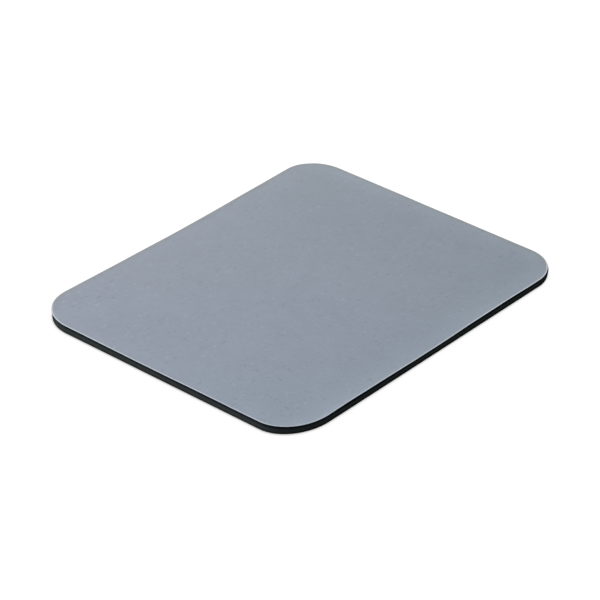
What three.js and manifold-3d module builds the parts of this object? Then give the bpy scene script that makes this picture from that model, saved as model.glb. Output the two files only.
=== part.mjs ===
// Cloth-topped mouse pad: foam base, adhesive film and jersey cloth, laminated as sheets and then
// die-cut together to one outline. Millimetres, +Z up, origin at the middle of the underside.
import * as THREE from "three";
import { toCreasedNormals } from "three/addons/utils/BufferGeometryUtils.js";
import Module from "manifold-3d";

const wasm = await Module();
wasm.setup();

// Outline of the cutting die
const padLength = 250;
const padDepth = 200;
const cornerRadius = 26;

// Layers, from the desk up
const foamThickness = 4.5;
const filmThickness = 0.1;
const clothThickness = 0.4;

// Cut edge: the foam springs back into a shallow waist, deepest at two thirds of its height, and the
// die rolls the cloth's rim over
const waistDepth = 0.4;
const rimRadius = 0.3;

// Grip tread: zigzag V grooves pressed into the foam sheet, with flat lands between them
const landWidth = 3.6;
const grooveWidth = 1.4;
const grooveDepth = 0.2;
const zigzagStep = 12.5;
const zigzagRise = 5;

// Facets in half a corner, in the foam's wall and in the cloth's rim
const cornerSteps = 8;
const waistSteps = 6;
const rimSteps = 4;

// The uncut foam sheet and the die's stroke run past the pad by this much
const overcut = 1;

const creaseAngle = Math.PI / 5;

const filmBase = foamThickness;
const clothBase = filmBase + filmThickness;
const padTop = clothBase + clothThickness;

// Closed solid through matching rings of points. The contour is the rings' common 2D shape, drawn
// anticlockwise as seen from the last ring, and fills both ends.
function loft(contour, rings) {
  const count = contour.length;
  const last = (rings.length - 1) * count;
  const index = [];
  for (const [a, b, c] of THREE.ShapeUtils.triangulateShape(contour, [])) {
    index.push(c, b, a, last + a, last + b, last + c);
  }
  for (let start = 0; start < last; start += count) {
    for (let i = 0; i < count; i++) {
      const here = start + i;
      const next = start + ((i + 1) % count);
      index.push(here, next, next + count, here, next + count, here + count);
    }
  }
  const geometry = new THREE.BufferGeometry().setFromPoints(rings.flat());
  geometry.setIndex(index);
  return geometry;
}

function toSolid(geometry) {
  const vertProperties = geometry.attributes.position.array;
  const triVerts = Uint32Array.from(geometry.index.array);
  return new wasm.Manifold(new wasm.Mesh({ numProp: 3, vertProperties, triVerts }));
}

function toGeometry(solid) {
  const { vertProperties, triVerts } = solid.getMesh();
  const geometry = new THREE.BufferGeometry();
  geometry.setAttribute("position", new THREE.BufferAttribute(vertProperties, 3));
  geometry.setIndex(new THREE.BufferAttribute(triVerts, 1));
  return geometry;
}

// The die's outline, drawn in by an inset: a rectangle with an arc at each corner.
function outline(inset) {
  const x = padLength / 2 - cornerRadius;
  const y = padDepth / 2 - cornerRadius;
  const radius = cornerRadius - inset;
  const quarter = Math.PI / 2;
  const shape = new THREE.Shape();
  shape.absarc(x, -y, radius, -quarter, 0);
  shape.absarc(x, y, radius, 0, quarter);
  shape.absarc(-x, y, radius, quarter, 2 * quarter);
  shape.absarc(-x, -y, radius, 2 * quarter, 3 * quarter);
  return shape.getPoints(cornerSteps);
}

// A layer cut by the die, from an edge profile of { inset, z } stations going up.
function dieCut(profile) {
  const rings = profile.map(({ inset, z }) => outline(inset).map((p) => new THREE.Vector3(p.x, p.y, z)));
  return loft(outline(0), rings);
}

// Foam sheet as it leaves the press, larger than the pad all round: a grooved profile across the depth,
// swept along the length and shifted sideways at every other station, so that the grooves zigzag.
function pressedSheet() {
  const pitch = landWidth + grooveWidth;
  const rows = Math.ceil((padDepth / 2 + zigzagRise) / pitch);
  const reach = (rows + 1) * pitch;
  const profile = [new THREE.Vector2(-reach, 0)];
  for (let row = -rows; row < rows; row++) {
    const middle = (row + 0.5) * pitch;
    profile.push(new THREE.Vector2(middle - grooveWidth / 2, 0));
    profile.push(new THREE.Vector2(middle, grooveDepth));
    profile.push(new THREE.Vector2(middle + grooveWidth / 2, 0));
  }
  profile.push(new THREE.Vector2(reach, 0));
  profile.push(new THREE.Vector2(reach, foamThickness + overcut));
  profile.push(new THREE.Vector2(-reach, foamThickness + overcut));

  const stations = Math.ceil((padLength / 2 + overcut) / zigzagStep);
  const rings = [];
  for (let station = -stations; station <= stations; station++) {
    const shift = station % 2 === 0 ? 0 : zigzagRise;
    rings.push(profile.map((p) => new THREE.Vector3(station * zigzagStep, p.x + shift, p.y)));
  }
  return loft(profile, rings);
}

function foamBase() {
  const wall = [{ inset: 0, z: -overcut }];
  for (let step = 0; step <= waistSteps; step++) {
    const t = step / waistSteps;
    wall.push({ inset: waistDepth * (27 / 4) * t * t * (1 - t), z: foamThickness * t });
  }
  return toGeometry(toSolid(pressedSheet()).intersect(toSolid(dieCut(wall))));
}

function adhesiveFilm() {
  return dieCut([
    { inset: 0, z: filmBase },
    { inset: 0, z: clothBase },
  ]);
}

function clothTop() {
  const radius = Math.min(rimRadius, clothThickness);
  const edge = [{ inset: 0, z: clothBase }];
  for (let step = 0; step <= rimSteps; step++) {
    const angle = (step / rimSteps) * (Math.PI / 2);
    edge.push({ inset: radius * (1 - Math.cos(angle)), z: padTop - radius * (1 - Math.sin(angle)) });
  }
  return dieCut(edge);
}

const foam = new THREE.MeshStandardMaterial({ color: 0x2b3031, roughness: 0.9, metalness: 0 });
const hotMelt = new THREE.MeshStandardMaterial({ color: 0x161616, roughness: 0.45, metalness: 0 });
const jersey = new THREE.MeshStandardMaterial({ color: 0x949eab, roughness: 0.95, metalness: 0 });

function layer(name, geometry, material) {
  const mesh = new THREE.Mesh(toCreasedNormals(geometry, creaseAngle), material);
  mesh.name = name;
  return mesh;
}

const mousePad = new THREE.Group();
mousePad.add(layer("foam_base", foamBase(), foam));
mousePad.add(layer("adhesive_film", adhesiveFilm(), hotMelt));
mousePad.add(layer("cloth_top", clothTop(), jersey));

export default mousePad;
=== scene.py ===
import math

import bpy
import numpy as np
from mathutils import Matrix, Vector, noise
from mathutils.geometry import delaunay_2d_cdt


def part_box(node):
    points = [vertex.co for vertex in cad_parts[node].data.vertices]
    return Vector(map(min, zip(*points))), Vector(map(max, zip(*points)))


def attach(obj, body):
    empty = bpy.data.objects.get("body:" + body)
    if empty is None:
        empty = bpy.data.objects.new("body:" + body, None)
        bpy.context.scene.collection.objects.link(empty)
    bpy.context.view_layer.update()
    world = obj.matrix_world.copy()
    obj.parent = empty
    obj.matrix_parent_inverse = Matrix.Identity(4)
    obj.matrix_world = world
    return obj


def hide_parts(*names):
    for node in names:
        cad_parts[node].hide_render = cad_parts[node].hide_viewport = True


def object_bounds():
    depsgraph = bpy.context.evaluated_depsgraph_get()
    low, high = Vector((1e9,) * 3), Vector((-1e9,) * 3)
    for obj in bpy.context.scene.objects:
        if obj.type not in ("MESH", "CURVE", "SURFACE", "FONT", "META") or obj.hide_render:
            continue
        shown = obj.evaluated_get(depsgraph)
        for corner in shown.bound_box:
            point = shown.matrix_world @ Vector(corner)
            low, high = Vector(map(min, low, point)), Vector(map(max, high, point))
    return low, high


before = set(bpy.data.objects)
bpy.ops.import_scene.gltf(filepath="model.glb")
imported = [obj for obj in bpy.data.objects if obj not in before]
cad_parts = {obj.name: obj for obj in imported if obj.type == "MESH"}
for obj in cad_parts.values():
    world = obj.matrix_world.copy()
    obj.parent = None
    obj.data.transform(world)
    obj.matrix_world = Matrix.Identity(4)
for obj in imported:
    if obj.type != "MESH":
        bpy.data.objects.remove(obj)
cadLow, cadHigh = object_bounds()
scene = bpy.context.scene
mm = 0.001
half = np.array((cadHigh - cadLow).xy) / 2
halfX, halfY = half
print("frame loaded, pad box in mm:", [round(side / mm, 2) for side in cadHigh - cadLow])


# camera, where the photograph was taken from
shot = dict(
    azimuth=-50.03,  # degrees round the pad
    elevation=31.49,
    roll=1.05,
    distance=1.774,  # metres from the pad's middle
    lens=180.3,  # mm
    sensor=36.0,  # mm
    aimRight=-1.04 * mm,  # the view's middle, from the pad's middle
    aimUp=-3.87 * mm,
)


def wayTo(spot):  # direction from the pad to a camera or a light
    turn = math.radians(spot["azimuth"])
    rise = math.radians(spot["elevation"])
    level = math.cos(rise)
    return Vector((math.sin(turn) * level, -math.cos(turn) * level, math.sin(rise)))


def makeCamera():
    roll = math.radians(shot["roll"])
    back = wayTo(shot)
    right = Vector((0, 0, 1)).cross(back).normalized()
    up = back.cross(right)
    side = right * math.cos(roll) + up * math.sin(roll)
    top = up * math.cos(roll) - right * math.sin(roll)
    spot = back * shot["distance"] + side * shot["aimRight"] + top * shot["aimUp"]
    data = bpy.data.cameras.new("camera")
    data.sensor_width = shot["sensor"]
    data.lens = shot["lens"]
    camera = bpy.data.objects.new("camera", data)
    camera.matrix_world = Matrix.Translation(spot) @ Matrix((side, top, back)).transposed().to_4x4()
    scene.collection.objects.link(camera)
    scene.camera = camera


makeCamera()
print("camera placed")


# shaders: a Wire is an output socket, and arithmetic on it adds Math nodes
class Wire:
    def __init__(self, look, socket):
        self.look = look
        self.socket = socket

    def maths(self, operation, *values):
        return self.look.node("Math", dict(operation=operation), dict(enumerate(values)))

    def pick(self, name):  # another output of the same node
        return Wire(self.look, self.socket.node.outputs[name])

    def __add__(self, other):
        return self.maths("ADD", self, other)

    def __radd__(self, other):
        return self.maths("ADD", other, self)

    def __sub__(self, other):
        return self.maths("SUBTRACT", self, other)

    def __rsub__(self, other):
        return self.maths("SUBTRACT", other, self)

    def __mul__(self, other):
        return self.maths("MULTIPLY", self, other)

    def __rmul__(self, other):
        return self.maths("MULTIPLY", other, self)

    def __truediv__(self, other):
        return self.maths("DIVIDE", self, other)

    def __rtruediv__(self, other):
        return self.maths("DIVIDE", other, self)

    def __abs__(self):
        return self.maths("ABSOLUTE", self)

    def fract(self):
        return self.maths("FRACT", self)

    def sine(self):
        return self.maths("SINE", self)

    def most(self, other):
        return self.maths("MAXIMUM", self, other)

    def ramp(self, low, high):  # 0 below low, 1 above high, smooth between
        settings = dict(interpolation_type="SMOOTHSTEP")
        return self.look.node("MapRange", settings, {"Value": self, "From Min": low, "From Max": high})


class Look:  # the nodes of one material, or of the world
    def __init__(self, owner):
        owner.use_nodes = True
        self.owner = owner
        self.tree = owner.node_tree
        self.tree.nodes.clear()

    def node(self, kind, settings=None, inputs=None, out=0):
        made = self.tree.nodes.new("ShaderNode" + kind)
        for key, value in (settings or {}).items():
            setattr(made, key, value)
        for key, value in (inputs or {}).items():
            if isinstance(value, Wire):
                self.tree.links.new(value.socket, made.inputs[key])
            else:
                made.inputs[key].default_value = value
        return Wire(self, made.outputs[out]) if made.outputs else made

    def place(self):  # metres in the pad's frame
        return self.node("TexCoord", out="Object")

    def axes(self):  # the same, to pick X, Y or Z from
        return self.node("SeparateXYZ", inputs={"Vector": self.place()})

    def speckle(self, size, detail=2.0, squash=None):  # blotches of that size, about -0.5 to 0.5
        place = self.place()
        if squash:
            place = self.node("VectorMath", dict(operation="MULTIPLY"), {0: place, 1: squash})
        return self.node("TexNoise", inputs={"Vector": place, "Scale": 1 / size, "Detail": detail}) - 0.5

    def stored(self, name):  # a number kept at each point of the mesh
        return self.node("Attribute", dict(attribute_name=name), out="Fac")

    def cells(self, size):  # distance from each cell's middle, about 0 to 1
        return self.node("TexVoronoi", inputs={"Vector": self.place(), "Scale": 1 / size})

    def blend(self, share, first, second):  # a colour between two, each a wire or numbers
        ends = [end if isinstance(end, Wire) else (*end, 1) for end in (first, second)]
        return self.node("Mix", dict(data_type="RGBA"), {0: share, 6: ends[0], 7: ends[1]}, out=2)

    def tinted(self, colour, parts):  # a colour times a red, a green and a blue
        tint = self.node("CombineColor", inputs=dict(zip(("Red", "Green", "Blue"), parts)))
        settings = dict(data_type="RGBA", blend_type="MULTIPLY")
        return self.node("Mix", settings, {0: 1.0, 6: colour, 7: tint}, out=2)

    def bump(self, height):  # height in metres
        return self.node("Bump", inputs={"Height": height, "Distance": 1.0})

    def surface(self, shader):
        self.node("OutputMaterial", inputs={"Surface": shader})
        return self.owner

    def finish(self, sockets):
        return self.surface(self.node("BsdfPrincipled", inputs=sockets))


def newLook(name):
    return Look(bpy.data.materials.new(name))


def shaded(colour, share):
    return [tone * share for tone in colour]


# outline shared by the layers: each corner's radius along x and along y, anticlockwise
outline = dict(
    backRight=(22 * mm, 24 * mm),
    backLeft=(28 * mm, 28 * mm),
    frontLeft=(32 * mm, 24 * mm),
    frontRight=(25 * mm, 25 * mm),
)


def pastCentre(spots):  # how far spots lie out past the centre of their corner, and that corner's radii
    right, back = ((side > 0)[:, None] for side in spots.T)
    ends = [np.where(right, outline[end + "Right"], outline[end + "Left"]) for end in ("back", "front")]
    radii = np.where(back, *ends)
    return np.maximum(np.abs(spots) - half + radii, 0), radii


def roundCorners(spots):  # turns the square corners of a grid into quarter ellipses
    past, radii = pastCentre(spots)
    shares = past / radii
    reach = shares.max(axis=1)
    tiny = 1e-9  # no division by 0 inside the corners
    ratio = shares.min(axis=1) / np.maximum(reach, tiny)
    angle = np.where(shares[:, 0] >= shares[:, 1], ratio, 2 - ratio) * math.pi / 4
    around = np.stack((np.cos(angle), np.sin(angle)), axis=1)
    return np.sign(spots) * (np.abs(spots) - past + radii * around * reach[:, None])


def gridLines(reach, insets, step):  # close together in the rim, then evenly spaced
    inner = reach - insets[-1]
    middle = np.linspace(-inner, inner, round(2 * inner / step) + 1)
    rim = reach - np.array(insets[:-1])
    return np.concatenate([-rim, middle, rim[::-1]])


def gridSpots(xs, ys):
    return np.stack([side.ravel() for side in np.meshgrid(xs, ys)], axis=1)


def outlineRing(spacing):  # points round the outline, and the outward direction at each
    arcs = []
    for quarter, radii in enumerate(outline.values()):
        middle = (quarter + 0.5) * math.pi / 2
        centre = np.sign((math.cos(middle), math.sin(middle))) * (half - radii)
        turns = round(sum(radii) * math.pi / 4 / spacing)
        angles = (quarter + np.arange(turns + 1) / turns) * math.pi / 2
        around = np.stack((np.cos(angles), np.sin(angles)), axis=1)
        ways = around / radii
        arcs.append((centre + around * radii, ways / np.linalg.norm(ways, axis=1, keepdims=True)))
    points, facing = [], []
    for (arc, ways), following in zip(arcs, arcs[1:] + arcs[:1]):
        side = following[0][0] - arc[-1]
        runs = round(np.hypot(*side) / spacing)
        points += [arc[:-1], arc[-1] + side * (np.arange(runs) / runs)[:, None]]
        facing += [ways[:-1], np.repeat(ways[-1:], runs, axis=0)]
    return np.concatenate(points), np.concatenate(facing)


def wobble(x, y, size, seed):  # smooth unevenness along the plane, -1 to 1
    return noise.noise(Vector((x / size, y / size, seed)))


# how the soft pad lies: its top stands a little above or below its thickness, most of all at the rim
lie = dict(
    # mm by eighths, anticlockwise from the right side
    rim=(0.0, 0.05, -0.6, 0.25, 0.1, 0.45, 0.0, 0.0),
    levelling=3.0,  # how fast that fades towards the middle
    ripple=0.15,  # mm
    frontRipple=0.4,  # mm more along the front
    rippleSize=32 * mm,
    rippleSeed=52.5,
    drawn=1.2 * mm,  # how far the back edge runs in between its corners
)


def settle(piece):
    mesh = piece.data
    spots = np.empty(3 * len(mesh.vertices))
    mesh.vertices.foreach_get("co", spots)
    spots = spots.reshape(-1, 3)
    u = spots[:, 0] / halfX
    v = spots[:, 1] / halfY
    rim = np.array(lie["rim"])
    eighths = len(rim)
    turn = np.arctan2(v, u) / (2 * math.pi / eighths) % eighths
    here = turn.astype(int) % eighths
    share = turn - np.floor(turn)
    share = share * share * (3 - 2 * share)
    lift = rim[here] * (1 - share) + rim[(here + 1) % eighths] * share
    waves = [wobble(x, y, lie["rippleSize"], lie["rippleSeed"]) for x, y in spots[:, :2]]
    lift += (lie["ripple"] + lie["frontRipple"] * np.maximum(-v, 0) ** lie["levelling"]) * waves
    near = np.maximum(np.abs(u), np.abs(v)) ** lie["levelling"]
    spots[:, 2] *= 1 + lift * mm * near / cadHigh.z
    spots[:, 1] -= lie["drawn"] * (1 - u * u) * np.maximum(v, 0) ** lie["levelling"]
    mesh.vertices.foreach_set("co", spots.ravel())
    mesh.update()


# meshes
def newPiece(name, verts, faces, materials):
    mesh = bpy.data.meshes.new(name)
    mesh.from_pydata(verts, [], faces)
    mesh.validate()
    for material in materials:
        mesh.materials.append(material)
    piece = bpy.data.objects.new(name, mesh)
    scene.collection.objects.link(piece)
    return piece


def shadeSmooth(piece, angle=40):  # faces that meet at more than that many degrees stay crisp
    piece.data.shade_smooth()
    piece.data.set_sharp_from_angle(angle=math.radians(angle))


def tubeFaces(count, rings):  # quads between closed rings of points
    faces = []
    for start in range(0, (rings - 1) * count, count):
        above = start + count
        for point in range(count):
            following = (point + 1) % count
            faces.append((start + point, start + following, above + following, above + point))
    return faces


def layerShell(name, insets, step, heights, seat, materials):
    # closed sheet: a grid above with a height for each inset, its copy below at the seat, a wall between
    xs, ys = (gridLines(reach, insets, step) for reach in half)
    square = gridSpots(xs, ys)
    inset = (half - np.abs(square)).min(axis=1)
    spots = roundCorners(square)
    verts = [(x, y, z) for (x, y), z in zip(spots, heights(spots, inset))]
    verts += [(x, y, seat) for x, y in spots]
    wide, deep, below = len(xs), len(ys), len(spots)
    faces = []
    for row in range(deep - 1):
        for column in range(wide - 1):
            a = row * wide + column
            quad = (a, a + 1, a + wide + 1, a + wide)
            faces.append(quad)
            faces.append(tuple(corner + below for corner in reversed(quad)))
    front = list(range(wide - 1))
    right = [row * wide + wide - 1 for row in range(deep - 1)]
    back = [(deep - 1) * wide + column for column in range(wide - 1, 0, -1)]
    left = [row * wide for row in range(deep - 1, 0, -1)]
    ring = front + right + back + left
    for a, b in zip(ring, ring[1:] + ring[:1]):
        faces.append((a + below, b + below, b, a))
    piece = newPiece(name, verts, faces, materials)
    stored = piece.data.attributes.new("inset", "FLOAT", "POINT")  # distance in from the outline
    stored.data.foreach_set("value", np.tile(inset, 2))
    return piece


# cloth: grey jersey knit, bonded flat, its cut rim rolled over by the die
cloth = dict(
    rimRadius=0.25 * mm,
    rimSteps=5,
    gridStep=2.5 * mm,
    swell=0.05 * mm,  # gentle unevenness of the face
    swellSize=22 * mm,
    swellSeed=3.0,
    cutBelow=0.55,  # faces that look up less than this are cut edge
    # knit
    walePitch=0.8 * mm,  # a column of stitches
    coursePitch=0.62 * mm,
    wander=0.5,  # how far the rows run out of line, in stitches
    wanderSize=9 * mm,
    legSlant=1.2,
    stitchDepth=0.05 * mm,
    fuzz=0.4,  # of the stitch depth
    fuzzSize=0.25 * mm,
    # colour: the face lies between two greys, and each shade says how much it shifts from one to the other
    grey=(0.296, 0.342, 0.409),
    contrast=0.10,
    stitchShade=0.4,
    stitchMiddle=0.4,  # where a stitch is neither light nor dark
    lintShade=0.6,
    lintSize=1.2 * mm,
    blotchShade=0.5,
    blotchSize=4.5 * mm,
    blotchDetail=3.0,
    cloudShade=0.5,
    cloudSize=16 * mm,
    fleck=0.13,  # how much lighter and darker a few yarns are
    fleckSize=1.5 * mm,
    fleckSquash=0.35,  # draws them out along the yarn
    fleckEdge=(0.26, 0.33),  # higher leaves fewer
    paintedLightRight=(0.008, 0.014, -0.005),  # painted light: slow drift of red, green and blue to the right
    paintedLightBack=(0.022, 0.0, -0.004),  # and to the back
    paintedLightCross=0.022,  # painted light, more in the back right and front left, less in the other corners
    # rim: a turn is where a finish comes in or goes out, in shares of the half width or depth
    paintedRimLightGrey=(0.341, 0.390, 0.467),  # painted light: lighter towards the rim, most of all at the front and right
    paintedRimLightWidth=24 * mm,
    paintedRimLightLeast=0.25,
    paintedRimLightTurn=(-0.5, 0.1),
    dullRim=(0.07, 0.14, 0.25),  # red, green and blue lost along the back and right rim
    dullWidth=8 * mm,
    dullTurn=(0.85, 0.95),
    wornAndHighlightGrey=(0.74, 0.78, 0.83),  # rubbed yarn and a painted highlight along the front and left rim
    wornAndHighlightWidth=1.0 * mm,
    wornAndHighlightEdge=(0.5, 1.0),  # full and gone, in shares of that width
    wornAndHighlightTurn=(0.92, 0.98),
    wornAndHighlightShare=0.68,
    wornAndHighlightRight=0.2,  # more of it to the right
    frayLint=0.5,  # how uneven its inner edge is
    frayBlotch=0.4,
    # cut edge
    cutShadeGrey=(0.004, 0.008, 0.012),  # cut yarn, black with adhesive, and painted shade under the rim
    cutDark=0.75,
    strandSize=0.5 * mm,
    strandDetail=3.0,
    strandDepth=0.05 * mm,
)


def jerseyFace():
    look = newLook("jersey_face")
    place = look.axes()
    right = place.pick("X") / halfX
    back = place.pick("Y") / halfY
    inset = look.stored("inset")

    wander = look.speckle(cloth["wanderSize"]) * cloth["wander"]
    wale = place.pick("X") / cloth["walePitch"] + wander
    course = place.pick("Y") / cloth["coursePitch"] + wander
    across = abs(wale.fract() - 0.5)
    yarn = ((course + across * cloth["legSlant"]).fract() * math.pi).sine()
    stitch = yarn * (across * (2 * math.pi)).sine()  # two slanting legs to each wale

    lint = look.speckle(cloth["lintSize"])
    blotch = look.speckle(cloth["blotchSize"], cloth["blotchDetail"])
    cloud = look.speckle(cloth["cloudSize"])
    uneven = lint * cloth["lintShade"] + blotch * cloth["blotchShade"] + cloud * cloth["cloudShade"]
    # painted shade: the stitch pattern that raises the bump also darkens the gaps between the yarns
    share = 0.5 + (stitch - cloth["stitchMiddle"]) * cloth["stitchShade"] + uneven

    flecks = []
    for squash in ((cloth["fleckSquash"], 1, 1), (1, cloth["fleckSquash"], 1)):  # along a course, a wale
        slub = look.speckle(cloth["fleckSize"], detail=0.0, squash=squash)
        flecks.append(slub.ramp(*cloth["fleckEdge"]) - (-1 * slub).ramp(*cloth["fleckEdge"]))

    # painted light: the cloth grows lighter towards the rim, most of all at the front and right
    paintedRimLight = (1 - inset / cloth["paintedRimLightWidth"]).most(0)
    spread = (right - back).ramp(*cloth["paintedRimLightTurn"]) * (1 - cloth["paintedRimLightLeast"])
    paintedRimLight = paintedRimLight * paintedRimLight * (cloth["paintedRimLightLeast"] + spread)
    shades = []
    for shade in (1 - cloth["contrast"], 1 + cloth["contrast"]):
        shades.append(look.blend(paintedRimLight, shaded(cloth["grey"], shade), shaded(cloth["paintedRimLightGrey"], shade)))

    dull = (1 - inset / cloth["dullWidth"]).most(0)
    dull = dull * dull * dull * right.most(back).ramp(*cloth["dullTurn"])
    # painted light: a slow drift of brightness and hue across the cloth; the flecks are lighter and darker
    # yarns
    alike = right * back * cloth["paintedLightCross"] + (flecks[0] + flecks[1]) * cloth["fleck"]  # in all three
    drifts = zip(cloth["paintedLightRight"], cloth["paintedLightBack"], cloth["dullRim"])
    tintAndPaintedLight = [1 + right * sideways + back * along - dull * lost + alike for sideways, along, lost in drifts]
    jersey = look.tinted(look.blend(share, *shades), tintAndPaintedLight)

    # rubbed yarn and a painted highlight along the front and left rim
    rubbedAndHighlight = (cloth["wornAndHighlightShare"] + right * cloth["wornAndHighlightRight"]).ramp(0, 1)
    nearSides = (1 - right.ramp(*cloth["wornAndHighlightTurn"])) * (1 - back.ramp(*cloth["wornAndHighlightTurn"]))
    fray = lint * cloth["frayLint"] + blotch * cloth["frayBlotch"]
    wornAndHighlight = rubbedAndHighlight * nearSides * (1 - (inset / cloth["wornAndHighlightWidth"] + fray).ramp(*cloth["wornAndHighlightEdge"]))

    fuzz = look.speckle(cloth["fuzzSize"]) * cloth["fuzz"]
    return look.finish({
        "Base Color": look.blend(wornAndHighlight, jersey, cloth["wornAndHighlightGrey"]),
        "Roughness": 0.9 + blotch * 0.08,
        "Specular IOR Level": 0.2,
        "Sheen Weight": 0.15,
        "Sheen Roughness": 0.5,
        "Normal": look.bump((stitch + fuzz) * cloth["stitchDepth"]),
    })


def yarnEnds():
    look = newLook("jersey_cut")
    strand = look.speckle(cloth["strandSize"], cloth["strandDetail"])
    # painted shade under the rim darkens the cut yarn
    dark = shaded(cloth["cutShadeGrey"], cloth["cutDark"])
    return look.finish({
        "Base Color": look.blend(0.75 + strand, dark, cloth["cutShadeGrey"]),
        "Roughness": 0.95 + strand * 0.1,
        "Specular IOR Level": 0.0,
        "Normal": look.bump(strand * cloth["strandDepth"]),
    })


def makeCloth():
    low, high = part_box("cloth_top")
    radius = cloth["rimRadius"]
    steps = cloth["rimSteps"]
    insets = [radius * (1 - math.cos(step / steps * math.pi / 2)) for step in range(steps + 1)]
    insets.append(2 * radius)

    def heights(spots, inset):
        rolled = radius - np.minimum(inset, radius)
        drop = radius - np.sqrt(radius**2 - rolled**2)
        swell = [cloth["swell"] * wobble(x, y, cloth["swellSize"], cloth["swellSeed"]) for x, y in spots]
        return high.z - drop + np.array(swell) - cloth["swell"]

    materials = [jerseyFace(), yarnEnds()]
    piece = layerShell("cloth_sheet", insets, cloth["gridStep"], heights, low.z, materials)
    for face in piece.data.polygons:
        face.material_index = int(abs(face.normal.z) < cloth["cutBelow"])
    settle(piece)
    shadeSmooth(piece)
    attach(piece, "root")
    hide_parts("cloth_top")
    rounding = (1 - math.pi / 4) * sum(radiusX * radiusY for radiusX, radiusY in outline.values())
    4 * halfX * halfY - rounding
    return piece


# adhesive film: a hairline of hot melt between cloth and foam
film = dict(
    squeeze=0.04 * mm,  # how far it stays behind the cut
    gridStep=4 * mm,
    # painted shade under the rim: the film is near black
    tint=(0.004, 0.006, 0.009),
    dark=0.8,
    flowSize=1.5 * mm,
    flowDepth=0.02 * mm,
)


def hotMelt():
    look = newLook("hot_melt")
    flow = look.speckle(film["flowSize"])
    dark = shaded(film["tint"], film["dark"])
    return look.finish({
        "Base Color": look.blend(0.5 + flow, dark, film["tint"]),
        "Roughness": 0.45 + flow * 0.2,
        "Specular IOR Level": 0.05,
        "Normal": look.bump(flow * film["flowDepth"]),
    })


def makeFilm():
    low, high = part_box("adhesive_film")

    def heights(spots, inset):
        return np.full(len(spots), high.z)

    piece = layerShell("glue_film", [film["squeeze"]], film["gridStep"], heights, low.z, [hotMelt()])
    settle(piece)
    shadeSmooth(piece)
    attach(piece, "root")
    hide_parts("adhesive_film")
    return piece


# foam base: black foam rubber, die-cut walls with a shallow waist, grip tread underneath
foam = dict(
    waist=0.4 * mm,  # how far the wall draws in
    bulge=0.95 * mm,  # how much less at the front right corner
    tuck=0.35 * mm,  # how far the foot draws in at the back left corner
    footRadius=0.5 * mm,  # soft lower edge
    footSteps=4,
    wallStep=0.8 * mm,  # along the wall
    wallRows=12,
    chatter=0.06 * mm,  # unevenness left by the knife
    chatterSize=14 * mm,
    chatterSeed=7.0,
    pits=0.04 * mm,  # cut cells
    pitSize=0.9 * mm,
    capStep=8 * mm,
    overcut=1 * mm,  # how far the sheet and the die reach past each other
    # tread
    landWidth=3.6 * mm,
    grooveWidth=1.4 * mm,
    grooveDepth=0.2 * mm,
    grooveCuts=(-0.5, -0.3, -0.1, 0.1, 0.3, 0.5),  # stations across it, in shares of its width
    zigzagStep=12.5 * mm,
    zigzagRise=5 * mm,
    zigzagCuts=6,  # stations to each leg
    zigzagSharp=0.93,  # 1 would be a sharp turn
    # cut wall: from and to are heights, in shares of the pad's
    black=(0.031, 0.0375, 0.0395),
    cellDark=0.6,
    cellLight=1.5,
    cellShade=0.8,
    cellSize=0.4 * mm,
    cellDepth=0.08 * mm,
    cloudShade=0.6,
    cloudSize=2.5 * mm,
    underRimShadeDepth=0.9,  # how far painted shade under the rim darkens the top of the wall
    underRimShadeBlack=(0.0015, 0.004, 0.009),
    underRimShadeFromTo=(0.50, 0.80),
    pressed=0.8,  # how far painted shade near the floor darkens the wall's foot
    footShadeBlack=(0.003, 0.0025, 0.0015),
    footShadeFromTo=(0.10, 0.45),
    shadeSpreadLeast=0.6,  # share of both painted shades at the lamp-lit left end
    shadeSpreadTurn=(-1.0, -0.5),  # from there to full, in shares of the half width
    # pressed skin underneath
    skinBelow=-0.6,  # faces that look down more than this have it
    skinDark=0.8,
    skinLight=1.3,
    skinCloudSize=6 * mm,
    grainSize=0.7 * mm,
    grainDepth=0.03 * mm,
)


def foamCut():
    look = newLook("foam_cut")
    cell = look.cells(foam["cellSize"])
    cloud = look.speckle(foam["cloudSize"])
    place = look.axes()
    height = place.pick("Z") / cadHigh.z
    # painted shade under the rim: the top of the wall is darker
    underRimShade = height.ramp(*foam["underRimShadeFromTo"]) * foam["underRimShadeDepth"]
    # painted shade near the floor: the foot of the wall is darker
    footShade = (1 - height.ramp(*foam["footShadeFromTo"])) * foam["pressed"]
    # both painted shades are weaker at the left end, where the lamp falls
    rightwards = (place.pick("X") / halfX).ramp(*foam["shadeSpreadTurn"])
    shadeSpread = foam["shadeSpreadLeast"] + rightwards * (1 - foam["shadeSpreadLeast"])
    # painted shade: the cells are darker in their pits, where the bump sinks
    share = cell * foam["cellShade"] + cloud * foam["cloudShade"]
    greys = [shaded(foam["black"], foam[key]) for key in ("cellDark", "cellLight")]
    grey = look.blend(underRimShade * shadeSpread, look.blend(share, *greys), foam["underRimShadeBlack"])
    return look.finish({
        "Base Color": look.blend(footShade * shadeSpread, grey, foam["footShadeBlack"]),
        "Roughness": 0.85 + cloud * 0.15,
        "Specular IOR Level": 0.0,
        "Normal": look.bump(cell * foam["cellDepth"]),
    })


def foamSkin():
    look = newLook("foam_skin")
    grain = look.cells(foam["grainSize"])
    cloud = look.speckle(foam["skinCloudSize"])
    greys = [shaded(foam["black"], foam[key]) for key in ("skinDark", "skinLight")]
    return look.finish({
        "Base Color": look.blend(0.5 + cloud, *greys),
        "Roughness": 0.62 + cloud * 0.15,
        "Specular IOR Level": 0.25,
        "Normal": look.bump(grain * foam["grainDepth"]),
    })


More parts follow.
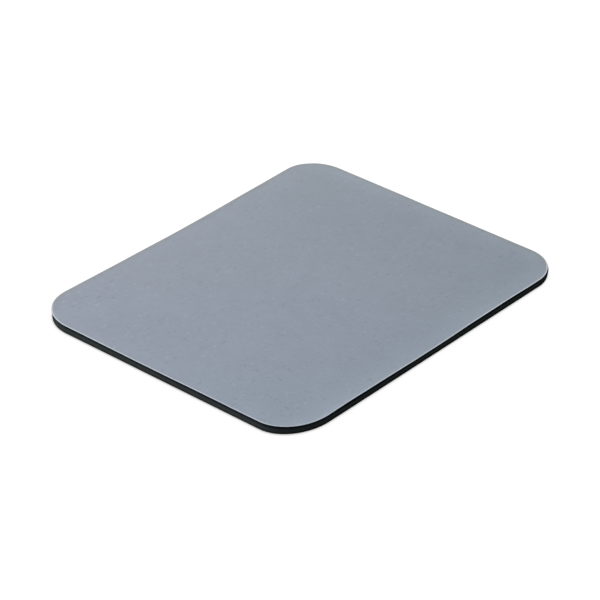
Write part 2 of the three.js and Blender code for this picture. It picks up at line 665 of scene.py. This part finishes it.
def pressedSheet(top):  # uncut foam sheet, larger than the pad, with wavy grooves across its underside
    pitch = foam["landWidth"] + foam["grooveWidth"]
    rows = math.ceil((halfY + foam["zigzagRise"]) / pitch)
    reach = (rows + 1) * pitch
    profile = [(-reach, 0.0)]
    for row in range(-rows, rows):
        for share in foam["grooveCuts"]:
            across = (row + 0.5) * pitch + share * foam["grooveWidth"]
            profile.append((across, foam["grooveDepth"] * math.cos(share * math.pi) ** 2))
    roof = top + foam["overcut"]
    profile += [(reach, 0.0), (reach, roof), (-reach, roof)]
    count = len(profile)
    step = foam["zigzagStep"] / foam["zigzagCuts"]
    stations = math.ceil((halfX + foam["overcut"]) / step)
    sharp = foam["zigzagSharp"]
    verts = []
    for station in range(-stations, stations + 1):
        x = station * step
        swing = math.asin(sharp * math.cos(math.pi * x / foam["zigzagStep"])) / math.asin(sharp)
        shift = foam["zigzagRise"] * (0.5 - 0.5 * swing)
        verts += [(x, across + shift, z) for across, z in profile]
    faces = tubeFaces(count, 2 * stations + 1)
    last = 2 * stations * count
    faces.append(tuple(reversed(range(count))))
    faces.append(tuple(range(last, last + count)))
    return newPiece("pressed_sheet", verts, faces, [])


def capSpots():  # evenly spaced points inside the outline
    step = foam["capStep"]
    spots = gridSpots(*(np.arange(-reach + step, reach, step) for reach in half))
    past, radii = pastCentre(spots)
    inside = np.linalg.norm(past / radii, axis=1) < 1 - step / 2 / radii.min(axis=1)
    return [Vector(spot) for spot in spots[inside]]


def dieBlock(top):  # what the die leaves: a fine wall with waist, knife marks and cut cells, flat caps
    points, ways = outlineRing(foam["wallStep"])
    count = len(points)
    straight = 0.5**0.5
    slant = ways @ (straight, -straight)  # 1 at the front right corner, -1 at the back left one
    corner = ((np.maximum(np.abs(slant), straight) - straight) / (1 - straight)) ** 2
    waists = foam["waist"] - foam["bulge"] * corner * (slant > 0)
    tucks = foam["tuck"] * corner * (slant < 0)
    foot = foam["footRadius"]
    turns = [step / foam["footSteps"] * math.pi / 2 for step in range(foam["footSteps"])]
    levels = [-foam["overcut"]] + [foot * (1 - math.cos(turn)) for turn in turns]
    levels += [foot + (top - foot) * row / foam["wallRows"] for row in range(foam["wallRows"] + 1)]
    deepest = 27 / 4  # brings the waist's curve to 1 at two thirds of the height
    verts = []
    for z in levels:
        rise = min(max(z / top, 0), 1)
        under = min(max(foot - z, 0), foot)
        draws = waists * deepest * rise * rise * (1 - rise)
        draws += tucks * (1 - rise * rise) + foot - math.sqrt(foot * foot - under * under)
        for point, way, draw in zip(points, ways, draws):
            mark = foam["chatter"] * wobble(*point, foam["chatterSize"], foam["chatterSeed"])
            pit = foam["pits"] * noise.noise(Vector((*point, max(z, 0))) / foam["pitSize"])
            verts.append((*(point - way * (draw + abs(mark) + abs(pit))), z))
    faces = tubeFaces(count, len(levels))
    spread = capSpots()
    weld = 1e-7  # points closer than this become one
    for start, flip in ((0, True), ((len(levels) - 1) * count, False)):
        ring = [Vector(verts[start + column][:2]) for column in range(count)]
        z = verts[start][2]
        made = delaunay_2d_cdt(ring + spread, [], [tuple(range(count))], 1, weld)
        flat, triangles, origins = made[0], made[2], made[3]
        index = {}
        for number, spot in enumerate(flat):
            origin = origins[number][0]
            if origin < count:
                index[number] = start + origin
            else:
                index[number] = len(verts)
                verts.append((spot.x, spot.y, z))
        for triangle in triangles:
            corners = tuple(index[number] for number in triangle)
            faces.append(corners[::-1] if flip else corners)
    return newPiece("die_block", verts, faces, [])


def makeFoam():
    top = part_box("foam_base")[1].z
    sheet = pressedSheet(top)
    die = dieBlock(top)
    cut = sheet.modifiers.new("die", "BOOLEAN")
    cut.operation = "INTERSECT"
    cut.solver = "MANIFOLD"
    cut.object = die
    whole = sheet.evaluated_get(bpy.context.evaluated_depsgraph_get())
    mesh = bpy.data.meshes.new_from_object(whole)
    for helper in (sheet, die):
        bpy.data.objects.remove(helper)
    mesh.name = "foam_slab"
    mesh.materials.clear()
    for material in (foamCut(), foamSkin()):
        mesh.materials.append(material)
    for face in mesh.polygons:
        face.material_index = int(face.normal.z < foam["skinBelow"])
    piece = bpy.data.objects.new("foam_slab", mesh)
    scene.collection.objects.link(piece)
    settle(piece)
    shadeSmooth(piece)
    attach(piece, "root")
    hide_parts("foam_base")
    return piece


pieces = [make() for make in (makeFoam, makeFilm, makeCloth)]
for piece in pieces:
    print(piece.name, "made, faces:", len(piece.data.polygons))


# stage: white floor, even light all round, a low soft lamp from the left that falls only on the pad,
# and a light from above that falls only on the floor and gives it a tight shadow along the foot
stage = dict(
    floorSize=30.0,
    floorGap=0.02 * mm,
    floorWhite=0.7,  # as the camera sees it
    floorGlow=0.5,  # brings it to full white
    floorGrey=0.245,  # what it sends back to the pad
    roomLight=0.45,
)
sideLamp = dict(azimuth=-138.0, elevation=25.0, distance=1.45, size=1.0, power=24.0)
topLight = dict(azimuth=130.0, elevation=81.0, distance=1.0, spread=12.0, strength=1.2)  # spread in degrees


def seenDirectly(look):  # 1 for what the camera, a mirror or glass would show
    path = look.node("LightPath", out="Is Camera Ray")
    return path.most(path.pick("Is Glossy Ray")).most(path.pick("Is Transmission Ray"))


def makeFloor():
    look = newLook("floor")
    white, grey = ((stage[key],) * 3 + (1,) for key in ("floorWhite", "floorGrey"))
    lit = look.node("BsdfDiffuse", inputs={"Color": grey})
    paint = look.node("BsdfDiffuse", inputs={"Color": white})
    glow = look.node("Emission", inputs={"Strength": stage["floorGlow"]})
    seen = look.node("AddShader", inputs={0: paint, 1: glow})
    material = look.surface(look.node("MixShader", inputs={0: seenDirectly(look), 1: lit, 2: seen}))
    size = stage["floorSize"] / 2
    z = cadLow.z - stage["floorGap"]
    verts = [(-size, -size, z), (size, -size, z), (size, size, z), (-size, size, z)]
    floor = newPiece("floor", verts, [(0, 1, 2, 3)], [material])
    return floor


def makeRoom():
    world = bpy.data.worlds.new("room")
    scene.world = world
    look = Look(world)
    lit = look.node("Background", inputs={"Color": (1, 1, 1, 1), "Strength": stage["roomLight"]})
    seen = look.node("Background", inputs={"Color": (1, 1, 1, 1), "Strength": 1.0})
    both = look.node("MixShader", inputs={0: seenDirectly(look), 1: lit, 2: seen})
    look.node("OutputWorld", inputs={"Surface": both})


def newLight(name, kind, settings, receivers):  # falls only on its receivers
    way = wayTo(settings)
    data = bpy.data.lights.new(name, kind)
    lamp = bpy.data.objects.new(name, data)
    lamp.location = way * settings["distance"]
    lamp.rotation_mode = "QUATERNION"
    lamp.rotation_quaternion = way.to_track_quat("Z", "Y")
    lamp.visible_camera = False
    scene.collection.objects.link(lamp)
    lit = bpy.data.collections.new("lit_by_" + name)
    for receiver in receivers:
        lit.objects.link(receiver)
    lamp.light_linking.receiver_collection = lit
    return data


def makeLights(floor):
    lamp = newLight("side_lamp", "AREA", sideLamp, pieces)
    lamp.energy = sideLamp["power"]
    lamp.size = sideLamp["size"]
    sky = newLight("top_light", "SUN", topLight, [floor])
    sky.energy = topLight["strength"]
    sky.angle = math.radians(topLight["spread"])


makeRoom()
makeLights(makeFloor())
scene.view_settings.view_transform = "Standard"
print("stage and light set")
